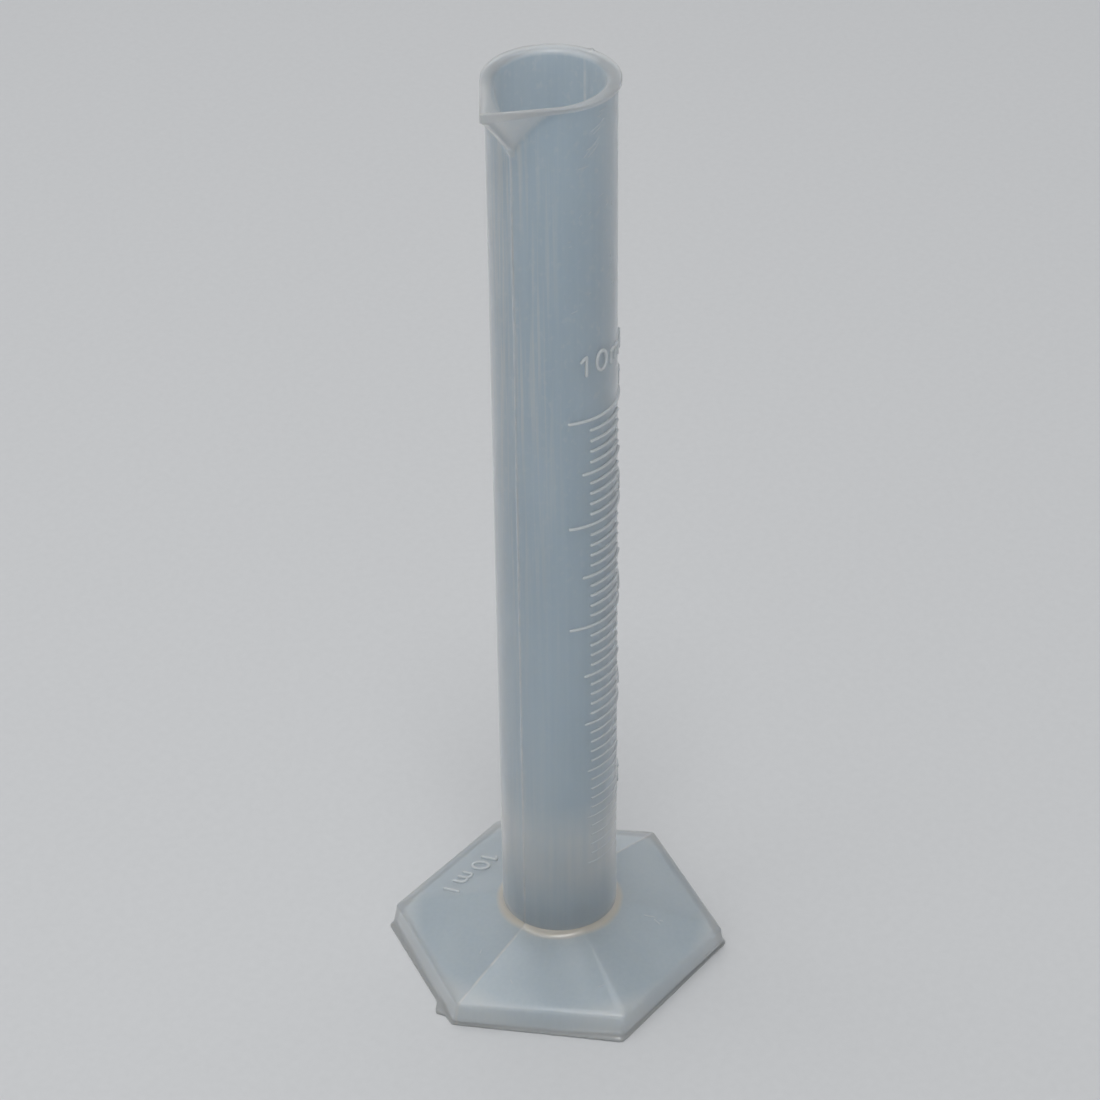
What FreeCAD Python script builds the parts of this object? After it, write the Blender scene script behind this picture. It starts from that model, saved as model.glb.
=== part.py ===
import FreeCAD, Part

import math
import os

# A 10 ml measuring cylinder, moulded in one shot from natural polypropylene, in millimetres.
# +Z is up, the origin is the centre of the foot's underside, and the tube's axis is the Z axis.
# The pouring spout points along -X, the scale faces -Y, and the mould parts on the XZ plane.
# The moulding is divided at its natural boundaries, so each feature is a solid of its own.

# Tube
TUBE_BOTTOM = 5.2
TUBE_RADIUS_LOW = 7.52
TUBE_RADIUS_HIGH = 7.70
BORE_RADIUS = 6.40
FLOOR_UNDERSIDE = 6.4
FLOOR_TOP = 7.9
FLOOR_CORNER_RADIUS = 2.6
FLOOR_CORNER_LAND = 0.15

# Rim flange and pouring spout
RIM_TOP = 128.6
RIM_RADIUS = 8.15
RIM_THICKNESS = 0.55
SPOUT_TIP_REACH = 13.1
SPOUT_TIP_RISE = 0.75
SPOUT_TIP_THICKNESS = 1.2
SPOUT_RISE_START = 5.0
SPOUT_LOW_Z = 122.2
SPOUT_LOW_REACH = 7.6
SPOUT_HIGH_Z = 128.0
SPOUT_HIGH_REACH = 12.5
SPOUT_WALL = 1.0
RIM_BLANK_DEPTH = 4.0

# Hollow hexagonal foot, with two of its corners on the X axis
FOOT_SIDES = 6
FOOT_CORNER_LOW = 22.6
FOOT_CORNER_HIGH = 22.1
FOOT_LIP_CORNER = 22.95
FOOT_LIP_THICKNESS = 0.4
FOOT_WALL = 1.35
FOOT_SKIRT_HEIGHT = 3.3
FOOT_JUNCTION_Z = 6.6
FOOT_TOP_THICKNESS = 1.35
ROOF_PEAK_CORNER = 5.0

# Scale: raised lines every 0.2 ml, from the 10 ml line down to the 1 ml line
SCALE_CENTRE_ANGLE = 3.5
SCALE_TOP_Z = 86.1
LINE_PITCH = 1.52
LINE_COUNT = 46
LINES_PER_LONG = 10
LINES_PER_MEDIUM = 5
LINE_WIDTH = 0.40
LINE_HEIGHT = 0.30
LONG_HALF_ANGLE = 44.5
MEDIUM_HALF_ANGLE = 31.2
SHORT_HALF_ANGLE = 23.0

# Capacity marks, "10 ml", raised on the tube above the scale and on the foot
CHARACTER_HEIGHT = 3.05
CHARACTER_RELIEF = 0.28
STROKE = 0.42
ONE_FLAG_REACH = 0.95
ONE_FLAG_DROP = 0.75
ONE_FLAG_STROKE = 0.45
ZERO_HALF_WIDTH = 1.0
M_HEIGHT = CHARACTER_HEIGHT * 0.72
M_HALF_WIDTH = 1.3
TUBE_MARK_BASELINE = 92.25
TUBE_MARK_OFFSETS = {"1": -3.5, "0": -1.2, "m": 1.75, "l": 4.35}
FOOT_MARK_BASELINE = 15.0
FOOT_MARK_OFFSETS = {"1": -2.2, "0": -0.3, "m": 2.9, "l": 6.0}

# Parting lines: fine ridges where the two halves of the mould meet
PARTING_WIDTH = 0.22
PARTING_HEIGHT = 0.14

# Cutting and trimming shapes run past what they cut by these
OVERLAP = 1.0
OVERSIZE = 30.0


def point(x, y, z):
    return FreeCAD.Vector(x, y, z)


def turned(shape, degrees):
    """The shape turned about the tube's axis."""
    copy = shape.copy()
    copy.rotate(point(0, 0, 0), point(0, 0, 1), degrees)
    return copy


def apothem(corner_radius):
    return corner_radius * math.cos(math.pi / FOOT_SIDES)


def tube_radius(z):
    """Outer radius of the lightly tapered tube at a height."""
    share = (z - TUBE_BOTTOM) / (RIM_TOP - TUBE_BOTTOM)
    return TUBE_RADIUS_LOW + share * (TUBE_RADIUS_HIGH - TUBE_RADIUS_LOW)


def tube_envelope(extra=0.0):
    """The full cone inside the tube's outer surface, grown by extra."""
    return Part.makeCone(
        TUBE_RADIUS_LOW + extra,
        TUBE_RADIUS_HIGH + extra,
        RIM_TOP - TUBE_BOTTOM,
        point(0, 0, TUBE_BOTTOM),
    )


def bore():
    return Part.makeCylinder(BORE_RADIUS, RIM_TOP + OVERSIZE, point(0, 0, 0))


def polyhedron(corners, triangles):
    faces = []
    for triangle in triangles:
        loop = [corners[i] for i in triangle]
        faces.append(Part.Face(Part.makePolygon(loop + loop[:1])))
    return Part.makeSolid(Part.makeShell(faces))


def spout_wedge(low_reach, low_z, high_reach, high_z, side_radius):
    """A tetrahedron: its front edge is the spout's keel, and it widens upwards.

    At high_z its two sides are the tangents from the keel to a circle of side_radius.
    """
    tangent = math.acos(side_radius / high_reach)
    share = (RIM_TOP + SPOUT_TIP_RISE + OVERLAP - low_z) / (high_z - low_z)
    low = point(-low_reach, 0, low_z)
    side_x = -side_radius * math.cos(tangent)
    side_y = side_radius * math.sin(tangent)
    corners = [low]
    for x, y in ((-high_reach, 0), (side_x, side_y), (side_x, -side_y)):
        corners.append(low + (point(x, y, high_z) - low) * share)
    return polyhedron(corners, [(0, 1, 2), (0, 3, 1), (1, 3, 2), (0, 2, 3)])


def spout_outside():
    return spout_wedge(
        SPOUT_LOW_REACH, SPOUT_LOW_Z, SPOUT_HIGH_REACH, SPOUT_HIGH_Z, tube_radius(SPOUT_HIGH_Z)
    )


def spout_channel():
    """The V-shaped channel inside the spout, one wall thickness in from its outside."""
    run = SPOUT_HIGH_REACH - SPOUT_LOW_REACH
    rise = SPOUT_HIGH_Z - SPOUT_LOW_Z
    length = math.hypot(run, rise)
    inset = SPOUT_WALL * length / rise
    high_reach = SPOUT_HIGH_REACH - inset
    low_z = SPOUT_HIGH_Z - (high_reach - BORE_RADIUS) * rise / run
    return spout_wedge(BORE_RADIUS, low_z, high_reach, SPOUT_HIGH_Z, BORE_RADIUS)


def mouth_slab(height):
    """A slab across the mouth, level over the tube and rising along the spout, height above its top.

    Its underside is the rim flange's underside, and the flange thickens towards the spout's tip.
    """
    past_tip = SPOUT_TIP_REACH + 2 * OVERLAP
    share = (past_tip - SPOUT_RISE_START) / (SPOUT_TIP_REACH - SPOUT_RISE_START)
    end_top = RIM_TOP + share * SPOUT_TIP_RISE
    end_thickness = RIM_THICKNESS + share * (SPOUT_TIP_THICKNESS - RIM_THICKNESS)
    side = [
        point(OVERSIZE, -OVERSIZE, RIM_TOP - RIM_THICKNESS),
        point(OVERSIZE, -OVERSIZE, RIM_TOP + height),
        point(-SPOUT_RISE_START, -OVERSIZE, RIM_TOP + height),
        point(-past_tip, -OVERSIZE, end_top + height),
        point(-past_tip, -OVERSIZE, end_top - end_thickness),
        point(-SPOUT_RISE_START, -OVERSIZE, RIM_TOP - RIM_THICKNESS),
    ]
    return Part.Face(Part.makePolygon(side + side[:1])).extrude(point(0, 2 * OVERSIZE, 0))


def make_measuring_tube():
    tube = tube_envelope().cut(bore()).cut(spout_channel())
    return tube.cut(mouth_slab(OVERSIZE))


def make_tube_floor():
    """The closed bottom, with a rounded corner where it runs up into the bore."""
    inner = BORE_RADIUS - FLOOR_CORNER_LAND
    low = FLOOR_TOP
    high = FLOOR_TOP + FLOOR_CORNER_RADIUS
    flat_end = inner - FLOOR_CORNER_RADIUS
    diagonal = FLOOR_CORNER_RADIUS * math.sqrt(0.5)
    arc_middle = point(flat_end + diagonal, 0, high - diagonal)
    edges = [
        Part.LineSegment(point(0, 0, FLOOR_UNDERSIDE), point(BORE_RADIUS, 0, FLOOR_UNDERSIDE)),
        Part.LineSegment(point(BORE_RADIUS, 0, FLOOR_UNDERSIDE), point(BORE_RADIUS, 0, high)),
        Part.LineSegment(point(BORE_RADIUS, 0, high), point(inner, 0, high)),
        Part.Arc(point(inner, 0, high), arc_middle, point(flat_end, 0, low)),
        Part.LineSegment(point(flat_end, 0, low), point(0, 0, low)),
        Part.LineSegment(point(0, 0, low), point(0, 0, FLOOR_UNDERSIDE)),
    ]
    profile = Part.Face(Part.Wire([edge.toShape() for edge in edges]))
    return profile.revolve(point(0, 0, 0), point(0, 0, 1), 360)


def make_rim_flange():
    """The thin flat flange round the mouth: a circle drawn out to the spout's tip by two tangents."""
    tangent = math.acos(RIM_RADIUS / SPOUT_TIP_REACH)
    side_x = -RIM_RADIUS * math.cos(tangent)
    side_y = RIM_RADIUS * math.sin(tangent)
    base = RIM_TOP - RIM_BLANK_DEPTH / 2
    tip = point(-SPOUT_TIP_REACH, 0, base)
    left = point(side_x, side_y, base)
    right = point(side_x, -side_y, base)
    outline = Part.Wire(
        [
            Part.Arc(left, point(RIM_RADIUS, 0, base), right).toShape(),
            Part.LineSegment(right, tip).toShape(),
            Part.LineSegment(tip, left).toShape(),
        ]
    )
    plate = Part.Face(outline).extrude(point(0, 0, RIM_BLANK_DEPTH))
    plate = plate.common(mouth_slab(0.0))
    return plate.cut(bore()).cut(spout_channel())


def make_pour_spout():
    """The V-shaped beak that stands out from the tube below the rim flange."""
    beak = spout_outside().cut(spout_channel()).cut(tube_envelope())
    return beak.cut(mouth_slab(OVERSIZE))


def hexagon(corner_radius, z):
    corners = []
    for i in range(FOOT_SIDES):
        angle = 2 * math.pi * i / FOOT_SIDES
        corners.append(point(corner_radius * math.cos(angle), corner_radius * math.sin(angle), z))
    return Part.makePolygon(corners + corners[:1])


def hexagonal_frustum(corner_low, z_low, corner_high, z_high):
    return Part.makeLoft([hexagon(corner_low, z_low), hexagon(corner_high, z_high)], True, True)


def roof_slope():
    """Rise of the foot's sloping top for each millimetre towards the tube."""
    return (FOOT_JUNCTION_Z - FOOT_SKIRT_HEIGHT) / (apothem(FOOT_CORNER_HIGH) - TUBE_RADIUS_LOW)


def roof_peak(corner_radius, z):
    """The height of a sloping top where its hexagon has shrunk to ROOF_PEAK_CORNER, in the tube."""
    return z + roof_slope() * (apothem(corner_radius) - apothem(ROOF_PEAK_CORNER))


def foot_outside():
    skirt = hexagonal_frustum(FOOT_CORNER_LOW, 0, FOOT_CORNER_HIGH, FOOT_SKIRT_HEIGHT)
    peak = roof_peak(FOOT_CORNER_HIGH, FOOT_SKIRT_HEIGHT)
    roof = hexagonal_frustum(FOOT_CORNER_HIGH, FOOT_SKIRT_HEIGHT, ROOF_PEAK_CORNER, peak)
    return skirt.fuse(roof)


def hollow_corner(z):
    """Corner radius of the hollow under the foot, one wall in from the skirt's outside."""
    share = z / FOOT_SKIRT_HEIGHT
    outside = FOOT_CORNER_LOW + share * (FOOT_CORNER_HIGH - FOOT_CORNER_LOW)
    return outside - FOOT_WALL / math.cos(math.pi / FOOT_SIDES)


def ceiling_edge():
    """Height at which the hollow's walls meet its sloping ceiling."""
    inset = apothem(FOOT_CORNER_HIGH) - apothem(hollow_corner(FOOT_SKIRT_HEIGHT))
    return FOOT_SKIRT_HEIGHT + roof_slope() * inset - FOOT_TOP_THICKNESS


def foot_hollow():
    edge = ceiling_edge()
    walls = hexagonal_frustum(hollow_corner(0), 0, hollow_corner(edge), edge)
    peak = roof_peak(hollow_corner(edge), edge)
    ceiling = hexagonal_frustum(hollow_corner(edge), edge, ROOF_PEAK_CORNER, peak)
    return walls.fuse(ceiling)


def block_from(z_low, z_high):
    size = 2 * OVERSIZE
    return Part.makeBox(size, size, z_high - z_low, point(-OVERSIZE, -OVERSIZE, z_low))


def make_foot_top():
    """The sloping six-sided roof between the skirt and the tube."""
    shell = foot_outside().cut(foot_hollow()).cut(tube_envelope())
    return shell.common(block_from(ceiling_edge(), OVERSIZE))


def make_foot_skirt():
    """The upright hexagonal band that the cylinder stands on, with a thin lip at its lower edge."""
    shell = foot_outside().cut(foot_hollow())
    skirt = shell.common(block_from(0, ceiling_edge()))
    lip = Part.Face(hexagon(FOOT_LIP_CORNER, 0)).extrude(point(0, 0, FOOT_LIP_THICKNESS))
    lip = lip.cut(foot_hollow())
    return skirt.fuse(lip).removeSplitter()


def raised_line(z, half_angle):
    """One line of the scale: an arc that stands out from the tube."""
    low = z - LINE_WIDTH / 2
    ring = Part.makeCylinder(
        tube_radius(z) + LINE_HEIGHT, LINE_WIDTH, point(0, 0, low), point(0, 0, 1), 2 * half_angle
    )
    ring = turned(ring, -90 + SCALE_CENTRE_ANGLE - half_angle)
    return ring.cut(tube_envelope())


def scale_line_length(index):
    if index % LINES_PER_LONG == 0:
        return "long"
    if index % LINES_PER_MEDIUM == 0:
        return "medium"
    return "short"


def make_graduations(wanted, half_angle):
    lines = []
    for index in range(LINE_COUNT):
        if scale_line_length(index) == wanted:
            lines.append(raised_line(SCALE_TOP_Z - index * LINE_PITCH, half_angle))
    return Part.makeCompound(lines)


def bar(x_low, x_high, y_low, y_high, depth):
    """A stroke of a character, drawn in the XY plane and standing up along Z."""
    return Part.makeBox(x_high - x_low, y_high - y_low, depth, point(x_low, y_low, 0))


def oval_ring(x, y, half_width, half_height, stroke, depth):
    """A closed oval stroke, taller than it is wide: the space between two ellipses."""
    solids = []
    for inset in (0.0, stroke):
        major = half_height - inset
        minor = half_width - inset
        ellipse = Part.Ellipse(point(x, y + major, 0), point(x + minor, y, 0), point(x, y, 0))
        solids.append(Part.Face(Part.Wire(ellipse.toShape())).extrude(point(0, 0, depth)))
    return solids[0].cut(solids[1])


def round_arch(x, y, radius, stroke, depth):
    """The upper half of a round ring."""
    ring = Part.makeCylinder(radius, depth, point(x, y, 0))
    ring = ring.cut(Part.makeCylinder(radius - stroke, depth, point(x, y, 0)))
    return ring.common(bar(-OVERSIZE, OVERSIZE, y, OVERSIZE, depth))


def character_one(depth):
    stem = bar(-STROKE / 2, STROKE / 2, 0, CHARACTER_HEIGHT, depth)
    flag_tip = CHARACTER_HEIGHT - ONE_FLAG_DROP
    flag_corners = [
        point(-STROKE / 2, CHARACTER_HEIGHT, 0),
        point(-ONE_FLAG_REACH, flag_tip, 0),
        point(-ONE_FLAG_REACH, flag_tip - ONE_FLAG_STROKE, 0),
        point(-STROKE / 2, CHARACTER_HEIGHT - ONE_FLAG_STROKE, 0),
    ]
    flag = Part.Face(Part.makePolygon(flag_corners + flag_corners[:1]))
    return stem.fuse(flag.extrude(point(0, 0, depth)))


def character_zero(depth):
    middle = CHARACTER_HEIGHT / 2
    return oval_ring(0, middle, ZERO_HALF_WIDTH, middle, STROKE, depth)


def character_m(depth):
    """Three stems under two round shoulders."""
    shoulder = M_HALF_WIDTH / 2 + STROKE / 4
    letter = bar(-M_HALF_WIDTH, -M_HALF_WIDTH + STROKE, 0, M_HEIGHT, depth)
    for side in (-1, 1):
        centre = side * (M_HALF_WIDTH / 2 - STROKE / 4)
        top = M_HEIGHT - shoulder
        arch = round_arch(centre, top, shoulder, STROKE, depth)
        right = centre + shoulder
        letter = letter.fuse([arch, bar(right - STROKE, right, 0, top, depth)])
    return letter


def character_l(depth):
    return bar(-STROKE / 2, STROKE / 2, 0, CHARACTER_HEIGHT, depth)


CHARACTERS = {"1": character_one, "0": character_zero, "m": character_m, "l": character_l}


def make_tube_capacity_mark():
    """The characters follow the tube's surface, upright, and read from the -Y side."""
    skin = tube_envelope(CHARACTER_RELIEF).cut(tube_envelope())
    characters = []
    for name, offset in TUBE_MARK_OFFSETS.items():
        solid = CHARACTERS[name](TUBE_RADIUS_HIGH + OVERLAP)
        solid.rotate(point(0, 0, 0), point(1, 0, 0), 90)
        solid.translate(point(0, 0, TUBE_MARK_BASELINE))
        angle = SCALE_CENTRE_ANGLE + math.degrees(offset / tube_radius(TUBE_MARK_BASELINE))
        characters.append(turned(solid, angle).common(skin))
    return Part.makeCompound(characters)


def make_foot_capacity_mark():
    """The characters lie on the foot's sloping +Y side, with their tops towards the tube."""
    slope = math.degrees(math.atan(roof_slope()))
    base_z = FOOT_SKIRT_HEIGHT + roof_slope() * (apothem(FOOT_CORNER_HIGH) - FOOT_MARK_BASELINE)
    characters = []
    for name, offset in FOOT_MARK_OFFSETS.items():
        solid = CHARACTERS[name](CHARACTER_RELIEF)
        solid.translate(point(offset, 0, 0))
        solid.rotate(point(0, 0, 0), point(1, 0, 0), slope)
        solid.translate(point(0, -FOOT_MARK_BASELINE, base_z))
        characters.append(turned(solid, 180))
    return Part.makeCompound(characters)


def make_tube_parting_lines():
    """Two fine ridges up the tube, under the spout and opposite it."""
    skin = tube_envelope(PARTING_HEIGHT).cut(tube_envelope())
    reach = TUBE_RADIUS_HIGH + OVERLAP
    rim_underside = RIM_TOP - RIM_THICKNESS
    spans = ((180, SPOUT_LOW_Z), (0, rim_underside))
    ridges = []
    for angle, top in spans:
        blade = Part.makeBox(
            reach, PARTING_WIDTH, top - FOOT_JUNCTION_Z, point(0, -PARTING_WIDTH / 2, FOOT_JUNCTION_Z)
        )
        ridges.append(turned(blade, angle).common(skin))
    return Part.makeCompound(ridges)


def make_foot_parting_lines():
    """Two fine ridges down the foot's corner edges, in line with those on the tube."""
    start = TUBE_RADIUS_LOW + PARTING_HEIGHT
    slope = roof_slope() * math.cos(math.pi / FOOT_SIDES)
    high = FOOT_SKIRT_HEIGHT + slope * (FOOT_CORNER_HIGH - start)
    side = [
        point(start, -PARTING_WIDTH / 2, high - OVERLAP),
        point(start, -PARTING_WIDTH / 2, high + PARTING_HEIGHT),
        point(FOOT_CORNER_HIGH, -PARTING_WIDTH / 2, FOOT_SKIRT_HEIGHT + PARTING_HEIGHT),
        point(FOOT_CORNER_HIGH, -PARTING_WIDTH / 2, FOOT_SKIRT_HEIGHT - OVERLAP),
    ]
    blade = Part.Face(Part.makePolygon(side + side[:1])).extrude(point(0, PARTING_WIDTH, 0))
    ridge = blade.cut(foot_outside())
    return Part.makeCompound([ridge, turned(ridge, 180)])


PARTS = {
    "measuring_tube": make_measuring_tube,
    "tube_floor": make_tube_floor,
    "rim_flange": make_rim_flange,
    "pour_spout": make_pour_spout,
    "foot_top": make_foot_top,
    "foot_skirt": make_foot_skirt,
    "long_graduations": lambda: make_graduations("long", LONG_HALF_ANGLE),
    "medium_graduations": lambda: make_graduations("medium", MEDIUM_HALF_ANGLE),
    "short_graduations": lambda: make_graduations("short", SHORT_HALF_ANGLE),
    "tube_capacity_mark": make_tube_capacity_mark,
    "foot_capacity_mark": make_foot_capacity_mark,
    "tube_parting_lines": make_tube_parting_lines,
    "foot_parting_lines": make_foot_parting_lines,
}

os.makedirs("parts", exist_ok=True)
for node, make in PARTS.items():
    shape = make()
    if not shape.isValid() or shape.Volume <= 0:
        raise SystemExit(f"{node} is not a valid solid")
    shape.exportStep(os.path.join("parts", node + ".step"))
    print(node, len(shape.Solids), "solids", round(shape.Volume, 2), "mm3")
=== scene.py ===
import math
import random

import bmesh
import bpy
from mathutils import Matrix, Vector, noise


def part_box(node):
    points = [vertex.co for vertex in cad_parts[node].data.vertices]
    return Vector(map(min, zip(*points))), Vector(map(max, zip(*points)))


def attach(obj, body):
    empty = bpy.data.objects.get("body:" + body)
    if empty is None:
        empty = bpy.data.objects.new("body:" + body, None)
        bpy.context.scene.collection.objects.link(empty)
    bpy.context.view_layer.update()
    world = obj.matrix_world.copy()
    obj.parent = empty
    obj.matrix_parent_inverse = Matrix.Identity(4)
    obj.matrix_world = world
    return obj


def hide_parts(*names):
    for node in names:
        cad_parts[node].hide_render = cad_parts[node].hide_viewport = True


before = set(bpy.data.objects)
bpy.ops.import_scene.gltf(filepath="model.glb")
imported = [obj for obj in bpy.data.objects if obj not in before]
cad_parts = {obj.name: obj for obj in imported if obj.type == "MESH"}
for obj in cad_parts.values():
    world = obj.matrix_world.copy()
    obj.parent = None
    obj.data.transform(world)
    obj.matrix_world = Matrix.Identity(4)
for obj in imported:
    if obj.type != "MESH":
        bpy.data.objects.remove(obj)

# A 10 ml measuring cylinder of natural polypropylene on a pale studio floor.
# Shapes are worked out in millimetres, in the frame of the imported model, and written to meshes in metres.
# +Z is up, the spout points along -X and the scale faces -Y.

MM = 0.001
X, Y, Z = 0, 1, 2

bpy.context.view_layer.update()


def low(node, axis):
    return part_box(node)[0][axis] / MM


def high(node, axis):
    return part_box(node)[1][axis] / MM


# Tube
TUBE_BOTTOM = low("measuring_tube", Z)
TUBE_RADIUS_HIGH = high("measuring_tube", X)
TUBE_RADIUS_LOW = TUBE_RADIUS_HIGH - 0.18
BORE_RADIUS = high("tube_floor", X)
FLOOR_UNDERSIDE = low("tube_floor", Z)
FLOOR_TOP = FLOOR_UNDERSIDE + 1.5
FLOOR_CORNER_TOP = high("tube_floor", Z)

# Rim flange and spout
RIM_UNDERSIDE = low("rim_flange", Z)
RIM_TOP = RIM_UNDERSIDE + 0.55
RIM_RADIUS = high("rim_flange", X)
TIP_REACH = -low("rim_flange", X)
TIP_RISE = high("rim_flange", Z) - RIM_TOP
TIP_SAG = 0.10
TIP_HALF_WIDTH = 0.12
SPOUT_RISE_START = 5.0
SPOUT_LOW_Z = low("pour_spout", Z)
SPOUT_HIGH_REACH = -low("pour_spout", X)
SPOUT_WALL = 1.75
RIM_LEDGE = 1.05
KEEL_HALF_WIDTH = 0.5
CHANNEL_HALF_WIDTH = 0.35
CREASE_SOFTNESS = 0.30
TIP_SOFTNESS = 0.12
BURR_REACH = 0.3
# The fillet under the flange, and the flat that is kept between the flange's edge and its rounded mouth
FLANGE_FILLET = 0.10
MOUTH_LAND = 0.54
# How far out from the bore, and how far down from the top, each ring of the rounded mouth lies
MOUTH_WIDTH = 0.74
MOUTH_DEPTH = 0.52
MOUTH_ROUNDING = (
    (MOUTH_WIDTH, 0.0), (0.55, 0.02), (0.36, 0.08), (0.18, 0.18), (0.06, 0.33), (0.0, MOUTH_DEPTH),
)
# The tube is plain up to here, and the spout blends out of it above
STRAIGHT_TOP = SPOUT_LOW_Z - 1.6
RING_SPACING = 1.1
BORE_RING_SPACING = 3.0
MOUTH_STEPS = 34

# Foot
LIP_APOTHEM = high("foot_skirt", Y)
LIP_HEIGHT = 0.4
SKIRT_HEIGHT = 3.3
SKIRT_LOW_APOTHEM = LIP_APOTHEM - 0.30
ROOF_EDGE_APOTHEM = high("foot_parting_lines", X) * math.cos(math.pi / 6)
ROOF_SLOPE = (6.6 - SKIRT_HEIGHT) / (ROOF_EDGE_APOTHEM - TUBE_RADIUS_LOW)
ROOF_THICKNESS = 1.35
SKIRT_WALL = 1.35
HOLLOW_TOP = high("foot_skirt", Z)
HUB_TOP = 7.15
HUB_GAP = 0.012
CORNER_SHARPNESS = 150.0
RIDGE_SHARPNESS = 45.0

# Raised marks
LINE_WIDTH = 0.40
LINE_HEIGHT = 0.30
LINE_PITCH = 1.52
SCALE_TURN = math.radians(-90 + 3.5)
CHARACTER_HEIGHT = high("tube_capacity_mark", Z) - low("tube_capacity_mark", Z)
CHARACTER_RELIEF = 0.28
STROKE = 0.42
SINK = 0.03
SCUFF_HEIGHT = 0.05
LINE_COUNT = 46
LINES_PER_MILLILITRE = 5
TOP_MILLILITRES = 10
LONG_HALF_ANGLE = 44.5
MEDIUM_HALF_ANGLE = 31.2
SHORT_HALF_ANGLE = 23.0
NUMERAL_RISE = 0.35


def smooth_max(a, b, softness):
    return (a + b + math.sqrt((a - b) ** 2 + softness**2)) / 2


def smooth_min(a, b, softness):
    return (a + b - math.sqrt((a - b) ** 2 + softness**2)) / 2


def smooth_step(low_end, high_end, value):
    share = min(1.0, max(0.0, (value - low_end) / (high_end - low_end)))
    return share * share * (3 - 2 * share)


def bell(distance, width):
    return math.exp(-((distance / width) ** 2))


def ripple(x, y, z=0.0):
    """Smooth repeatable noise from -1 to 1."""
    return noise.noise(Vector((x, y, z)))


def from_spout(angle):
    """How far an angle is from the spout's direction, from 0 to pi."""
    return abs(math.remainder(angle - math.pi, 2 * math.pi))


def from_angle(angle, direction):
    return math.remainder(angle - direction, 2 * math.pi)


# Mesh building


def mesh_object(name, vertices, faces):
    mesh = bpy.data.meshes.new(name)
    mesh.from_pydata([Vector(v) * MM for v in vertices], [], faces)
    mesh.validate()
    shape = bmesh.new()
    shape.from_mesh(mesh)
    bmesh.ops.recalc_face_normals(shape, faces=shape.faces)
    shape.to_mesh(mesh)
    shape.free()
    mesh.update()
    for polygon in mesh.polygons:
        polygon.use_smooth = True
    piece = bpy.data.objects.new(name, mesh)
    bpy.context.scene.collection.objects.link(piece)
    return piece


def ring_faces(first, second, count):
    return [
        (first + i, first + (i + 1) % count, second + (i + 1) % count, second + i)
        for i in range(count)
    ]


def skin_of_rings(name, rings, first_pole=None, last_pole=None):
    """A closed skin through rings of points, closed by a pole at each end or joined end to end."""
    count = len(rings[0])
    vertices = [p for ring in rings for p in ring]
    faces = []
    for i in range(len(rings) - 1):
        faces += ring_faces(i * count, (i + 1) * count, count)
    last = (len(rings) - 1) * count
    if first_pole is None:
        faces += ring_faces(last, 0, count)
    else:
        vertices += [first_pole, last_pole]
        bottom, top = len(vertices) - 2, len(vertices) - 1
        for i in range(count):
            j = (i + 1) % count
            faces.append((bottom, j, i))
            faces.append((top, last + i, last + j))
    return mesh_object(name, vertices, faces)


def spread_angles(step, centres, offsets):
    """Evenly spaced angles, with finer ones on both sides of the centres. All in degrees."""
    reach = max(offsets)
    angles = []
    for i in range(round(360 / step)):
        angle = i * step
        if all(abs(math.remainder(angle - c, 360)) > reach + step / 3 for c in centres):
            angles.append(angle)
    for centre in centres:
        angles += [(centre + side * o) % 360 for o in offsets for side in (-1, 1)]
        angles.append(centre)
    return [math.radians(a) for a in sorted(set(angles))]


def polar(radius, angle, z):
    return Vector((radius * math.cos(angle), radius * math.sin(angle), z))


# The tube with its mouth


def tube_radius(z):
    share = (z - TUBE_BOTTOM) / (RIM_TOP - TUBE_BOTTOM)
    return TUBE_RADIUS_LOW + share * (TUBE_RADIUS_HIGH - TUBE_RADIUS_LOW)


def spout_turn(reach, half_width, radius):
    """The angle between the spout's middle and its side, for a side tangent to a circle of radius."""
    return math.asin(radius / math.hypot(reach, half_width)) - math.atan(half_width / reach)


def beak(off, reach, half_width, turn):
    """Distance from the tube's axis to a blunt beak, at an angle off its middle."""
    if off > math.pi / 2 - turn:
        return reach * math.sin(turn) + half_width * math.cos(turn)
    side = (reach * math.sin(turn) + half_width * math.cos(turn)) / math.sin(turn + off)
    return smooth_min(side, reach / math.cos(min(off, 1.2)), TIP_SOFTNESS)


KEEL_SLOPE = (SPOUT_HIGH_REACH - TUBE_RADIUS_HIGH) / (RIM_UNDERSIDE + TIP_SAG - SPOUT_LOW_Z)
# The spout's outside faces are a little narrower than tangent, so that they meet the tube in a crease
OUTER_TURN = spout_turn(SPOUT_HIGH_REACH, KEEL_HALF_WIDTH, TUBE_RADIUS_HIGH) - math.radians(2.0)
CHANNEL_HIGH_REACH = SPOUT_HIGH_REACH - SPOUT_WALL + KEEL_SLOPE * TIP_RISE
CHANNEL_TURN = spout_turn(CHANNEL_HIGH_REACH, CHANNEL_HALF_WIDTH, RIM_RADIUS - RIM_LEDGE)
RIM_TURN = spout_turn(TIP_REACH, TIP_HALF_WIDTH, RIM_RADIUS)


def keel_reach(z):
    return TUBE_RADIUS_HIGH + KEEL_SLOPE * (z - SPOUT_LOW_Z)


def parting_ridge(angle, radius, z):
    """Height of the two ragged parting ridges up the tube, under the spout and opposite it."""
    direction = math.pi if math.cos(angle) < 0 else 0.0
    across = from_angle(angle, direction) * radius
    if abs(across) > 1.5:
        return 0.0
    drift = 0.10 * ripple(z * 0.06, direction, 3.1)
    strength = 0.09 + 0.05 * ripple(z * 0.25, direction, 7.7) + 0.03 * ripple(z * 1.3, direction, 1.7)
    return max(0.0, strength) * bell(across - drift, 0.14)


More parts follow.
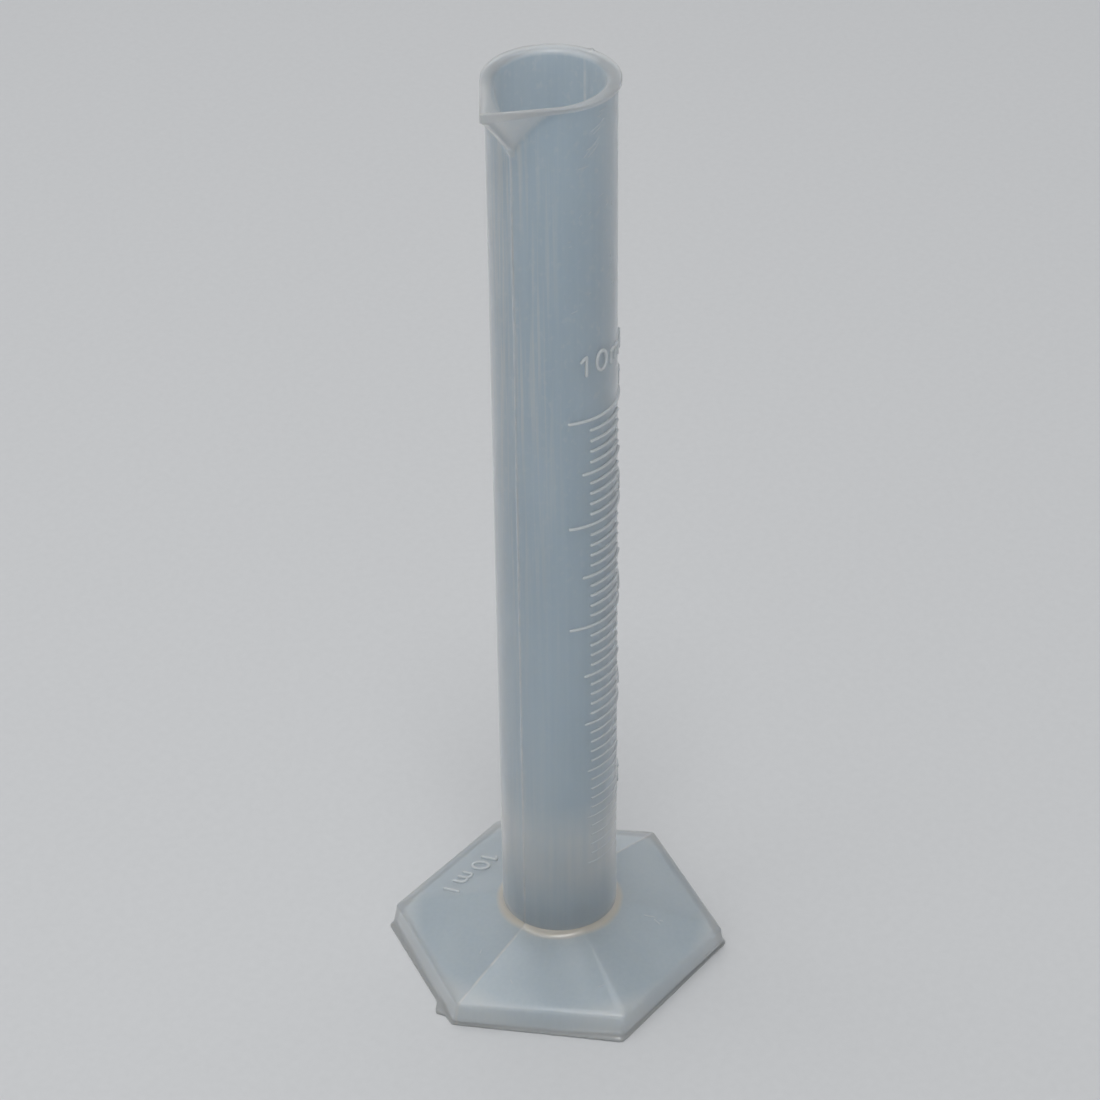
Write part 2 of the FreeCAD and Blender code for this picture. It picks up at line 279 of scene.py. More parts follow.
def drag_marks(angle, z):
    """Shallow lengthways waves left by drawing the tube out of its mould."""
    near = 0.35 + 0.65 * bell(from_spout(angle), 0.7)
    return 0.012 * near * ripple(angle * 14.0, z * 0.035, 5.0) + 0.02 * ripple(angle * 1.6, z * 0.02, 9.0)


def outer_radius(angle, z):
    off = from_spout(angle)
    ridge = parting_ridge(angle, TUBE_RADIUS_HIGH, z)
    if off < 1:
        ridge *= smooth_step(SPOUT_LOW_Z + 1, SPOUT_LOW_Z - 1, z)
    tube = tube_radius(z) + ridge + drag_marks(angle, z)
    if z < SPOUT_LOW_Z - 1.5 or off > 1.5:
        return tube
    wedge = beak(off, keel_reach(z), KEEL_HALF_WIDTH, OUTER_TURN)
    # A small lump where the spout's keel starts
    blob = 0.30 * bell(math.hypot(off * TUBE_RADIUS_HIGH - 0.1, z - SPOUT_LOW_Z + 0.1), 0.42)
    fade = smooth_step(1.5, 0.85, off)
    blend = smooth_max(tube, wedge, CREASE_SOFTNESS) - smooth_max(tube, 0.0, CREASE_SOFTNESS)
    blend -= 0.10 * bell(tube - wedge - 0.2, 0.25) * smooth_step(SPOUT_LOW_Z, SPOUT_LOW_Z + 2, z)
    return tube + fade * blend + blob


def inner_radius(angle, z):
    off = from_spout(angle)
    reach = keel_reach(z) - SPOUT_WALL
    if reach < BORE_RADIUS * 0.7 or off > 1.55:
        return BORE_RADIUS
    channel = beak(off, reach, CHANNEL_HALF_WIDTH, CHANNEL_TURN)
    fade = smooth_step(1.55, 0.75, off)
    blend = smooth_max(BORE_RADIUS, channel, 0.3) - smooth_max(BORE_RADIUS, 0.0, 0.3)
    return BORE_RADIUS + fade * blend


def rim_radius(angle):
    off = from_spout(angle)
    if off > math.pi / 2 - RIM_TURN:
        return RIM_RADIUS + 0.015 * ripple(angle * 3, 2.0)
    return beak(off, TIP_REACH, TIP_HALF_WIDTH, RIM_TURN)


def mouth_rise(radius, angle):
    """How much higher the rim's top is at a point than over the tube: it rises along the spout."""
    out = -radius * math.cos(angle) - SPOUT_RISE_START
    return TIP_RISE * smooth_max(out, 0.0, 0.6) / (TIP_REACH - SPOUT_RISE_START)


def mouth_sag(radius, angle):
    """How much higher the rim's underside is at a point than over the tube."""
    return TIP_SAG / TIP_RISE * mouth_rise(radius, angle)


def burr(angle):
    """The small burr where the parting plane crosses the far side of the rim."""
    return 0.22 * bell(from_angle(angle, math.radians(1.5)) * RIM_RADIUS, 0.30)


def outside_rings(angles):
    rings = []
    start = HUB_TOP + HUB_GAP + 0.04
    for i in range(math.ceil((STRAIGHT_TOP - start) / RING_SPACING)):
        z = start + i * RING_SPACING
        rings.append([polar(outer_radius(a, z), a, z) for a in angles])
    for i in range(MOUTH_STEPS + 1):
        share = i / MOUTH_STEPS
        ring = []
        for a in angles:
            top = RIM_UNDERSIDE - FLANGE_FILLET + mouth_sag(outer_radius(a, RIM_UNDERSIDE), a)
            z = STRAIGHT_TOP + share * (top - STRAIGHT_TOP)
            ring.append(polar(outer_radius(a, z), a, z))
        rings.append(ring)
    return rings


def rim_rings(angles):
    rings = []
    round_off = 0.10
    # The underside, from the wall's top out to the edge, the edge, and the top in to the mouth
    for out, up in ((0.04, 0.06), (0.12, 0.10)):
        ring = []
        for a in angles:
            wall = outer_radius(a, RIM_UNDERSIDE)
            ring.append(polar(wall + out, a, RIM_UNDERSIDE - FLANGE_FILLET + up + mouth_sag(wall, a)))
        rings.append(ring)
    for inset, rise in ((round_off, 0.0), (0.03, 0.03), (0.0, round_off)):
        ring = []
        for a in angles:
            edge = rim_radius(a)
            ring.append(polar(edge - inset, a, RIM_UNDERSIDE + rise + mouth_sag(edge, a)))
        rings.append(ring)
    for inset, fall in ((0.0, 0.16), (0.05, 0.04), (0.18, 0.0), (0.5, 0.0)):
        ring = []
        for a in angles:
            edge = rim_radius(a) - inset
            lift = burr(a) if inset < BURR_REACH else 0.0
            ring.append(polar(edge, a, RIM_TOP - fall + mouth_rise(edge, a) + lift))
        rings.append(ring)
    for outset, fall in MOUTH_ROUNDING:
        ring = []
        for a in angles:
            level = RIM_TOP + mouth_rise(inner_radius(a, RIM_TOP), a) - fall
            inner = inner_radius(a, level)
            room = min(1.0, (rim_radius(a) - MOUTH_LAND - inner) / MOUTH_WIDTH)
            edge = inner + outset * room
            ring.append(polar(edge, a, RIM_TOP - fall + mouth_rise(edge, a)))
        rings.append(ring)
    return rings


def inside_rings(angles):
    rings = []
    for i in range(1, MOUTH_STEPS + 1):
        share = i / MOUTH_STEPS
        ring = []
        for a in angles:
            top = RIM_TOP + mouth_rise(inner_radius(a, RIM_TOP), a) - MOUTH_DEPTH
            z = top + share * (STRAIGHT_TOP - top)
            ring.append(polar(inner_radius(a, z), a, z))
        rings.append(ring)
    z = STRAIGHT_TOP - BORE_RING_SPACING
    while z > FLOOR_CORNER_TOP + 1.0:
        rings.append([polar(BORE_RADIUS, a, z) for a in angles])
        z -= BORE_RING_SPACING
    corner = FLOOR_CORNER_TOP - FLOOR_TOP
    for i in range(9):
        turn = i / 8 * math.pi / 2
        radius = BORE_RADIUS - corner + corner * math.cos(turn)
        z = FLOOR_CORNER_TOP - corner * math.sin(turn)
        rings.append([polar(radius, a, z) for a in angles])
    for radius in (2.6, 1.3):
        rings.append([polar(radius, a, FLOOR_TOP) for a in angles])
    return rings


def make_tube():
    """The tube, its floor, rim and spout: one closed skin from under the floor round to its top."""
    angles = spread_angles(2.5, (0, 180), (0.3, 0.6, 0.95, 1.35, 1.8, 2.4, 3.2, 4.2, 5.5, 7, 9, 11, 13))
    rings = []
    shoulder = HUB_TOP + HUB_GAP
    for radius, z in (
        (2.0, FLOOR_UNDERSIDE),
        (BORE_RADIUS - 0.8, FLOOR_UNDERSIDE),
        (BORE_RADIUS - 0.1, FLOOR_UNDERSIDE),
        (BORE_RADIUS - HUB_GAP, FLOOR_UNDERSIDE + 0.08),
        (BORE_RADIUS - HUB_GAP, shoulder - 0.03),
        (BORE_RADIUS + 0.02, shoulder),
        (TUBE_RADIUS_LOW - 0.03, shoulder),
    ):
        rings.append([polar(radius, a, z) for a in angles])
    rings += outside_rings(angles) + rim_rings(angles) + inside_rings(angles)
    return skin_of_rings(
        "tube_shell", rings, Vector((0, 0, FLOOR_UNDERSIDE)), Vector((0, 0, FLOOR_TOP))
    )


# The foot

FLASH_TAB_TURN = math.radians(170.8)
SIDE_MIDDLES = [math.radians(30 + 60 * i) for i in range(6)]
# How far each side of the lip stands in or out from the true hexagon, from the side that faces
# +X +Y round to the one that faces +X -Y
LIP_WANDER = (-0.25, -0.35, 0.25, -0.08, -0.80, -0.30)
# How far each side of the lip is turned out of true, in degrees
LIP_TURN = (0.0, 0.3, 0.9, -2.1, 1.2, 0.0)
# How far each side of the roof's edge stands in or out from the true hexagon
EDGE_WANDER = (-0.30, -0.10, 0.10, -0.05, -0.30, -0.45)


def hexagon_radius(angle, apothems, sharpness=CORNER_SHARPNESS, turns=(0.0,) * 6):
    """A hexagon with softly rounded corners, and its own apothem and turn for each side."""
    total = 0.0
    for middle, apothem, turn in zip(SIDE_MIDDLES, apothems, turns):
        total += max(0.0, math.cos(angle - middle - math.radians(turn)) / apothem) ** sharpness
    return total ** (-1 / sharpness)


def lip_radius(angle):
    """The lip's ragged outline, with a tab of flash by the corner under the spout."""
    outline = hexagon_radius(angle, [LIP_APOTHEM + w for w in LIP_WANDER], CORNER_SHARPNESS, LIP_TURN)
    tab = 1.05 * bell(from_angle(angle, FLASH_TAB_TURN) * outline, 0.9)
    return outline + tab + 0.07 * ripple(angle * 22, 1.0) + 0.05 * ripple(angle * 60, 2.0)


def hexagon_distance(angle, radius):
    """The apothem of the hexagon through a point, softened over the roof's ridges."""
    return radius / hexagon_radius(angle, [1.0] * 6, RIDGE_SHARPNESS)


def roof_height(angle, radius):
    return SKIRT_HEIGHT + ROOF_SLOPE * (ROOF_EDGE_APOTHEM - hexagon_distance(angle, radius))


def make_foot():
    """The hollow foot: one closed skin over its roof, down its skirt and back under the hollow."""
    angles = spread_angles(1.5, range(0, 360, 60), (0.12, 0.25, 0.4, 0.6, 0.85, 1.2, 1.7, 2.4))
    edge = [ROOF_EDGE_APOTHEM + w for w in EDGE_WANDER]
    skirt_low = [SKIRT_LOW_APOTHEM + (a + b) / 2 for a, b in zip(LIP_WANDER, EDGE_WANDER)]
    hollow_low = [SKIRT_LOW_APOTHEM + w - SKIRT_WALL for w in EDGE_WANDER]
    hollow_high = [ROOF_EDGE_APOTHEM + 0.1 + w - SKIRT_WALL for w in EDGE_WANDER]

    def ridge(angle, radius):
        across = min(abs(from_angle(angle, 0.0)), abs(from_angle(angle, math.pi))) * radius
        return (0.07 + 0.03 * ripple(radius * 0.9, 4.0)) * bell(across, 0.20)

    def ragged(angle):
        return 0.05 * ripple(angle * 22, 1.0) + 0.03 * ripple(angle * 60, 2.0)

    rings = []
    # The hub that the tube stands on, and the fillet from it to the roof
    hub = TUBE_RADIUS_LOW
    for radius, z in (
        (BORE_RADIUS, HUB_TOP - 0.03), (BORE_RADIUS + 0.03, HUB_TOP), (hub - 0.03, HUB_TOP),
    ):
        rings.append([polar(radius, a, z) for a in angles])
    fillet = 0.95
    fillet_end = hub + fillet
    fillet_steps = 7
    for i in range(fillet_steps + 1):
        turn = math.pi / 2 * i / fillet_steps
        radius = fillet_end - fillet * math.cos(turn) + 0.01
        ring = []
        for a in angles:
            ground = roof_height(a, radius)
            rise = (HUB_TOP - 0.03 - roof_height(a, hub)) * (1 - math.sin(turn))
            ring.append(polar(radius, a, ground + rise + ridge(a, radius) * math.sin(turn)))
        rings.append(ring)
    roof_steps = 16
    for i in range(1, roof_steps + 1):
        share = i / roof_steps
        ring = []
        for a in angles:
            edge_radius = hexagon_radius(a, edge) - 0.35
            radius = fillet_end + share * (edge_radius - fillet_end)
            sink = 0.04 * ripple(radius * 0.3 * math.cos(a), radius * 0.3 * math.sin(a), 6.0)
            ring.append(polar(radius, a, roof_height(a, radius) + ridge(a, radius) + sink * share))
        rings.append(ring)
    # Skirt and lip
    for inset, z in (
        (0.14, SKIRT_HEIGHT - 0.02), (0.03, SKIRT_HEIGHT - 0.16), (-0.02, SKIRT_HEIGHT - 0.42),
    ):
        rings.append([polar(hexagon_radius(a, edge) - inset, a, z) for a in angles])
    for share in (0.3, 0.6, 0.85):
        ring = []
        for a in angles:
            radius = hexagon_radius(a, edge) * (1 - share) + hexagon_radius(a, skirt_low) * share
            z = (SKIRT_HEIGHT - 0.4) * (1 - share) + (LIP_HEIGHT + 0.15) * share
            ring.append(polar(radius, a, z))
        rings.append(ring)
    for inset, z in (
        (0.30, LIP_HEIGHT + 0.08), (0.10, LIP_HEIGHT), (0.0, LIP_HEIGHT - 0.12), (0.0, 0.1), (0.1, 0.0),
    ):
        rings.append([polar(lip_radius(a) - inset, a, z) for a in angles])
    # Hollow, back in under the roof
    for outset, z in ((0.12, 0.0), (0.0, 0.1)):
        rings.append([polar(hexagon_radius(a, hollow_low) + outset + ragged(a + 9), a, z) for a in angles])
    for share in (0.35, 0.7, 0.93):
        ring = []
        for a in angles:
            radius = hexagon_radius(a, hollow_low) * (1 - share) + hexagon_radius(a, hollow_high) * share
            ring.append(polar(radius, a, HOLLOW_TOP * share))
        rings.append(ring)
    for share in (0.0, 0.02, 0.05, 0.15, 0.35, 0.6, 0.8, 0.97):
        ring = []
        for a in angles:
            wall = hexagon_radius(a, hollow_high) - 0.12
            radius = wall + share * (hub - wall)
            ring.append(polar(radius, a, roof_height(a, radius) - ROOF_THICKNESS))
        rings.append(ring)
    for radius, z in (
        (hub - 0.1, TUBE_BOTTOM), (BORE_RADIUS + 0.1, TUBE_BOTTOM), (BORE_RADIUS, TUBE_BOTTOM + 0.1),
    ):
        rings.append([polar(radius, a, z) for a in angles])
    return skin_of_rings("foot_shell", rings)


# Raised marks


def on_tube(across, z, lift):
    """A point at a distance round the tube from the middle of the scale, lifted off its surface."""
    angle = SCALE_TURN + across / tube_radius(z)
    return polar(tube_radius(z) + drag_marks(angle, z) + lift, angle, z)


FOOT_MARK_BASE = high("foot_capacity_mark", Y)
ROOF_TILT = math.atan(ROOF_SLOPE)


def on_roof(across, up, lift):
    """A point on the +Y side of the roof, read from that side with its top towards the tube."""
    y = FOOT_MARK_BASE - up * math.cos(ROOF_TILT) + lift * math.sin(ROOF_TILT)
    ground = SKIRT_HEIGHT + ROOF_SLOPE * (ROOF_EDGE_APOTHEM - FOOT_MARK_BASE)
    return Vector((-across, y, ground + up * math.sin(ROOF_TILT) + lift * math.cos(ROOF_TILT)))


def stroke(path, width, height, place, closed=False, wear=lambda share: 1.0):
    """Vertices and faces of a rounded bead along a flat path, placed on a surface.

    The bead's height is multiplied by wear, from its share of the path's points."""
    arch = 8
    sections = []
    count = len(path)
    lengths = [0.0]
    for i in range(1, count):
        lengths.append(lengths[-1] + math.dist(path[i], path[i - 1]))
    for i, (u, v) in enumerate(path):
        before = path[(i - 1) % count] if closed or i else path[0]
        after = path[(i + 1) % count] if closed or i < count - 1 else path[-1]
        run, rise = after[0] - before[0], after[1] - before[1]
        size = math.hypot(run, rise)
        side = (-rise / size, run / size)
        scale = 1.0
        if not closed:
            end = min(lengths[i], lengths[-1] - lengths[i])
            scale = math.sqrt(max(0.03, 1 - (1 - min(1.0, end / (width / 2))) ** 2))
        section = []
        for k in range(arch + 1):
            turn = math.pi * k / arch
            out = math.cos(turn) * width / 2 * scale
            lift = math.sin(turn) ** 0.8 * height * scale * wear(i / count) if 0 < k < arch else 0.0
            section.append(place(u + side[0] * out, v + side[1] * out, lift))
        for out in (-0.8, 0.8):
            out *= width / 2 * scale
            section.append(place(u + side[0] * out, v + side[1] * out, -SINK))
        sections.append(section)
    points = len(sections[0])
    vertices = [p for section in sections for p in section]
    faces = []
    for i in range(count if closed else count - 1):
        a, b = i * points, ((i + 1) % count) * points
        for k in range(points):
            n = (k + 1) % points
            faces.append((a + k, b + k, b + n, a + n))
    if not closed:
        faces.append(tuple(range(points)))
        faces.append(tuple(reversed(range((count - 1) * points, count * points))))
    return vertices, faces


def joined(name, strokes):
    vertices, faces = [], []
    for some_vertices, some_faces in strokes:
        start = len(vertices)
        vertices += some_vertices
        faces += [tuple(start + i for i in face) for face in some_faces]
    return mesh_object(name, vertices, faces)


def straight(x0, y0, x1, y1, steps=8):
    """Points of a straight stroke, closer together at its ends so that they can be rounded."""
    shares = [0.5 - 0.5 * math.cos(math.pi * i / steps) for i in range(steps + 1)]
    return [(x0 + s * (x1 - x0), y0 + s * (y1 - y0)) for s in shares]


def oval(x, y, half_width, half_height, steps=36):
    turns = [2 * math.pi * i / steps for i in range(steps)]
    return [(x + half_width * math.cos(t), y + half_height * math.sin(t)) for t in turns]


def arch_path(x, foot, top, radius, steps=10):
    """Over a round shoulder from its left, and down the right stem to its foot."""
    turns = [math.pi - math.pi * i / steps for i in range(steps + 1)]
    path = [(x + radius * math.cos(t), top + radius * math.sin(t)) for t in turns]
    path += [(x + radius, top + s * (foot - top)) for s in (0.3, 0.6, 0.85, 0.93, 1.0)]
    return path


def arc(x, y, half_width, half_height, start, end, steps=14):
    """Points of part of an oval, between two angles in degrees."""
    turns = [math.radians(start + (end - start) * i / steps) for i in range(steps + 1)]
    return [(x + half_width * math.cos(t), y + half_height * math.sin(t)) for t in turns]


def even_digit_paths(name):
    """The strokes of 2, 4, 6 or 8, laid out like character_paths."""
    half = STROKE / 2
    tall = CHARACTER_HEIGHT - STROKE
    top = half + tall
    if name == "8":
        return [
            (oval(0, half + 0.27 * tall, 0.76, 0.27 * tall), True),
            (oval(0, top - 0.23 * tall, 0.64, 0.23 * tall), True),
        ]
    if name == "6":
        return [
            (oval(0, half + 0.29 * tall, 0.76, 0.29 * tall), True),
            (arc(0.64, half + 0.29 * tall, 1.4, 0.71 * tall, 180, 98), False),
        ]
    if name == "4":
        bar = half + 0.30 * tall
        return [
            (straight(0.35, half - 0.1, 0.35, top + 0.1), False),
            (straight(-0.85, bar, 0.85, bar), False),
            (straight(-0.80, bar, 0.35, top), False),
        ]
    curl = arc(0, top - 0.28 * tall, 0.72, 0.28 * tall, 165, -35)
    return [
        (curl + straight(*curl[-1], -0.78, half)[2:], False),
        (straight(-0.80, half, 0.85, half), False),
    ]


def character_paths(name):
    """The flat strokes of a character, with its foot at zero: each is a path and whether it closes."""
    half = STROKE / 2
    top = CHARACTER_HEIGHT - half
    if name == "1":
        return [
            (straight(0, half - 0.2, 0, top + 0.1), False),
            (straight(-0.8, top - 0.75, 0, top, 6), False),
        ]
    if name == "0":
        return [(oval(0, CHARACTER_HEIGHT / 2, 1.0 - half, CHARACTER_HEIGHT / 2 - half), True)]
    if name == "l":
        return [(straight(0, half - 0.2, 0, top + 0.1), False)]
    if name in "2468":
        return even_digit_paths(name)
    height = CHARACTER_HEIGHT * 0.72
    half_width = 1.3 - half
    shoulder = half_width / 2
    paths = [(straight(-half_width, half - 0.2, -half_width, height - half), False)]
    for side in (-1, 1):
        paths.append((arch_path(side * shoulder, 0.02, height - half - shoulder, shoulder), False))
    return paths


def character_strokes(offsets, base, place):
    strokes = []
    for character, offset in offsets.items():
        for path, closed in character_paths(character):
            moved = [(u + offset, v + base) for u, v in path]
            strokes.append(stroke(moved, STROKE, CHARACTER_RELIEF, place, closed))
    return strokes


def make_characters(name, offsets, base, place):
    return joined(name, character_strokes(offsets, base, place))


def make_numerals(indices, top_z):
    """The millilitres, over the right end of each long line."""
    strokes = []
    for index in indices:
        base = top_z - index * LINE_PITCH + NUMERAL_RISE
        value = round(TOP_MILLILITRES - index / LINES_PER_MILLILITRE)
        offsets = {"1": 5.5, "0": 7.3} if value == TOP_MILLILITRES else {str(value): 5.6}
        strokes += character_strokes(offsets, base, on_tube)
    return joined("scale_numerals", strokes)


def make_lines(name, first, indices, half_angle, top_z):
    """Some of the scale's lines, fainter down the scale, with the wider ones worn away at the left."""
    strokes = []
    for index in indices:
        z = top_z - index * LINE_PITCH
        half = math.radians(half_angle) * tube_radius(z)
        left = half * (1 - 0.38 * smooth_step(22, 32, index) * smooth_step(25, 40, half_angle))
        wear = 1 - 0.30 * smooth_step(8, 28, index) - 0.30 * smooth_step(28, 38, index)
        wear -= 0.28 * smooth_step(38, 43, index)
        wear += 0.05 * wear * ripple(index * 3.7, first)
        worn_start = 0.75 * smooth_step(20, 36, index) * smooth_step(25, 40, half_angle)
        steps = 40
        path = []
        for i in range(steps + 1):
            share = 0.5 - 0.5 * math.cos(math.pi * i / steps)
            path.append((-left + (left + half) * share, z + 0.02 * ripple(share * 4, index * 1.9)))
        strokes.append(stroke(
            path, LINE_WIDTH * min(1.0, 0.3 + wear), LINE_HEIGHT * wear, on_tube,
            wear=lambda share, start=worn_start: 1 - start * smooth_step(0.30, 0.05, share),
        ))
    return joined(name, strokes)


def make_scuffs():
    """Fine slanting scratches, as raised hairlines, on the tube between the scale and the rim."""
    chance = random.Random(7)
    strokes = []
    for across, z, length, slant in (
        (-2.8, 124.8, 2.4, 25), (-2.5, 124.4, 1.6, 28), (-3.8, 121.7, 3.2, 42), (-3.3, 121.6, 2.2, 40),
        (-4.5, 120.4, 1.4, 5), (-1.6, 126.9, 1.6, 6), (-1.9, 126.4, 1.0, 12), (-3.4, 122.6, 1.5, 17),
    ):
        strokes.append(scuff(chance, across, z, length, math.radians(slant), 0.13))
    for i in range(16):
        across = chance.uniform(-6.0, 3.0)
        z = chance.uniform(100.0, 124.0)
        slant = math.radians(chance.uniform(5, 80))
        strokes.append(scuff(chance, across, z, chance.uniform(0.3, 1.2), slant, 0.10))
    return joined("tube_scuffs", strokes)


def on_slope(x, y, lift):
    """A point of the roof, on any of its sides."""
    return Vector((x, y, roof_height(math.atan2(y, x), math.hypot(x, y)) + 0.02 + lift))


def make_foot_scuffs():
    chance = random.Random(11)
    strokes = []
    for x, y, length, slant in (
        (4.4, -10.6, 1.4, -52), (4.9, -11.9, 1.1, -95), (5.3, -12.5, 0.6, -70),
        (-14.0, 2.6, 0.8, 20), (-9.5, -13.4, 1.0, -30), (-15.5, -4.0, 0.7, 60),
    ):
        strokes.append(scuff(chance, x, y, length, math.radians(slant), 0.14, on_slope))
    return joined("foot_scuffs", strokes)


def scuff(chance, across, z, length, slant, width, place=on_tube):
    bow = chance.uniform(-0.12, 0.12)
    path = []
    for share in (0.0, 0.04, 0.12, 0.3, 0.5, 0.7, 0.88, 0.96, 1.0):
        side = bow * math.sin(math.pi * share)
        u = across + share * length * math.cos(slant) - side * math.sin(slant)
        v = z + share * length * math.sin(slant) + side * math.cos(slant)
        path.append((u, v))
    return stroke(path, width, SCUFF_HEIGHT, place)


# Materials

# Cycles leaves a surface out of the denoiser's guide at a roughness under about 0.27, and dark specks
# follow, so every plastic stays above that
ROUGHNESS_LOW = 0.30
ROUGHNESS_HIGH = ROUGHNESS_LOW + 0.08
POLYPROPYLENE_IOR = 1.49
# Colour of the painted highlight along the parting ridges
SEAM_HIGHLIGHT_WHITE = (0.98, 0.97, 0.94)


class Nodes:
    """Short calls for a material's node tree."""

    def __init__(self, name):
        self.material = bpy.data.materials.new(name)
        self.material.use_nodes = True
        self.tree = self.material.node_tree
        self.tree.nodes.clear()

    def add(self, kind, **settings):
        node = self.tree.nodes.new(kind)
        for key, value in settings.items():
            setattr(node, key, value)
        return node

    def link(self, source, target):
        self.tree.links.new(source, target)

    def math(self, operation, a, b=None):
        node = self.add("ShaderNodeMath", operation=operation)
        for socket, value in zip(node.inputs, (a, b)):
            if value is None:
                continue
            if isinstance(value, (int, float)):
                socket.default_value = value
            else:
                self.link(value, socket)
        return node.outputs[0]

    def place(self, scale, turn=(0, 0, 0)):
        """Object coordinates in units of a pattern: scale is repeats to the millimetre."""
        coordinates = self.add("ShaderNodeTexCoord").outputs["Object"]
        mapping = self.add("ShaderNodeMapping")
        self.link(coordinates, mapping.inputs["Vector"])
        mapping.inputs["Scale"].default_value = [s / MM for s in scale]
        mapping.inputs["Rotation"].default_value = turn
        return mapping.outputs["Vector"]

    def noise(self, scale, detail=2.0, roughness=0.5, turn=(0, 0, 0)):
        node = self.add("ShaderNodeTexNoise")
        self.link(self.place(scale, turn), node.inputs["Vector"])
        node.inputs["Scale"].default_value = 1.0
        node.inputs["Detail"].default_value = detail
        node.inputs["Roughness"].default_value = roughness
        return node.outputs["Fac"]

    def spread(self, value, low_in, high_in, low_out, high_out):
        node = self.add("ShaderNodeMapRange")
        self.link(value, node.inputs["Value"])
        for key, number in zip(
            ("From Min", "From Max", "To Min", "To Max"), (low_in, high_in, low_out, high_out)
        ):
            node.inputs[key].default_value = number
        return node.outputs["Result"]

    def mix(self, factor, a, b):
        node = self.add("ShaderNodeMix", data_type="RGBA")
        self.link(factor, node.inputs["Factor"])
        for socket, colour in ((node.inputs[6], a), (node.inputs[7], b)):
            if isinstance(colour, tuple):
                socket.default_value = (*colour, 1.0)
            else:
                self.link(colour, socket)
        return node.outputs[2]


def painted_seam_highlight(n, colour):
    """Painted highlight along the mould's parting plane, y = 0: the thin bright line that the parting
    ridges catch, painted whiter.
    """
    split = n.add("ShaderNodeSeparateXYZ")
    n.link(n.add("ShaderNodeTexCoord").outputs["Object"], split.inputs[0])
    across = n.math("ABSOLUTE", split.outputs["Y"])
    # Painted highlight: whiter base colour within about a quarter millimetre of the parting plane.
    seam_highlight_share = n.math("MULTIPLY", n.spread(across, 0.00026, 0.00008, 0.0, 1.0), 0.8)
    patchy = n.spread(n.noise((0.5, 0.5, 0.5), detail=3.0), 0.35, 0.6, 0.25, 1.0)
    return n.mix(n.math("MULTIPLY", seam_highlight_share, patchy), colour, SEAM_HIGHLIGHT_WHITE)


def reach_tint(n, colour, start, end, share, tint):
    """A tint that comes in between two distances from the tube's axis, in millimetres."""
    flat = n.add("ShaderNodeVectorMath", operation="MULTIPLY")
    n.link(n.add("ShaderNodeTexCoord").outputs["Object"], flat.inputs[0])
    flat.inputs[1].default_value = (1.0, 1.0, 0.0)
    reach = n.add("ShaderNodeVectorMath", operation="LENGTH")
    n.link(flat.outputs[0], reach.inputs[0])
    return n.mix(n.spread(reach.outputs["Value"], start * MM, end * MM, 0.0, share), colour, tint)


def tube_tints(n, colour):
    """A painted reflection in a paler band over the floor, whiter streaks up by the spout's seam, a painted
    highlight round the rim's lip, and paler at the rim and spout than in the plain wall, partly from
    milkier thick plastic and partly as painted light.
    """
    split = n.add("ShaderNodeSeparateXYZ")
    n.link(n.add("ShaderNodeTexCoord").outputs["Object"], split.inputs[0])
    # Painted reflection: a paler, streaky band over the tube's floor stands in for light reflected up
    # through the wall.
    above = n.spread(split.outputs["Z"], 0.010, 0.016, 0.15, 0.85)
    below = n.spread(split.outputs["Z"], 0.028, 0.022, 0.0, 1.0)
    streaks = n.spread(n.noise((0.8, 0.8, 0.04), detail=3.0), 0.35, 0.65, 0.5, 1.0)
    floor_reflection_band = n.math("MULTIPLY", n.math("MULTIPLY", above, below), streaks)
    painted_floor_reflection = n.mix(floor_reflection_band, colour, (0.90, 0.91, 0.90))
    by_seam = n.spread(split.outputs["X"], -0.0045, -0.0075, 0.0, 1.0)
    high_up = n.spread(split.outputs["Z"], 0.050, 0.090, 0.2, 0.75)
    drawn = n.spread(n.noise((2.2, 2.2, 0.05), detail=3.0), 0.48, 0.66, 0.0, 1.0)
    drawn = n.math("MULTIPLY", n.math("MULTIPLY", by_seam, high_up), drawn)
    streaked = n.mix(drawn, painted_floor_reflection, (0.90, 0.90, 0.88))
    mottle = n.spread(n.noise((1.3, 1.3, 0.9), detail=4.0), 0.56, 0.70, 0.0, 0.5)
    mottled = n.mix(n.math("MULTIPLY", mottle, high_up), streaked, (0.88, 0.90, 0.90))
    # Painted highlight: the rim's top and rounded mouth are whitened where they catch the light.
    lip_low, lip_high = (RIM_TOP - 0.65) * MM, (RIM_TOP - 0.20) * MM
    lip_highlight = n.spread(split.outputs["Z"], lip_low, lip_high, 0.0, 0.75)
    lip_highlighted = n.mix(lip_highlight, mottled, (0.94, 0.95, 0.95))
    # Paler at the rim and spout: partly milkier thick plastic, partly painted light that the lit channel
    # inside throws through the wall.
    paler_further_out = reach_tint(n, lip_highlighted, TUBE_RADIUS_HIGH, TUBE_RADIUS_HIGH + 0.45, 0.8, (0.93, 0.94, 0.94))
    return painted_seam_highlight(n, paler_further_out)


def foot_tints(n, colour):
    """A painted warm highlight on the thick fillet round the tube, and paler over the roof's edge and skirt
    than on the roof.
    """
    # Painted highlight: a warm bright ring on the fillet, where the tube meets the roof.
    warm_fillet_highlight = reach_tint(
        n, colour, TUBE_RADIUS_LOW + 1.0, TUBE_RADIUS_LOW + 0.4, 0.9, (1.0, 0.91, 0.78)
    )
    paler_further_out = reach_tint(
        n, warm_fillet_highlight, ROOF_EDGE_APOTHEM - 1.0, ROOF_EDGE_APOTHEM + 1.0, 0.5, (0.93, 0.95, 0.95)
    )
    return painted_seam_highlight(n, paler_further_out)


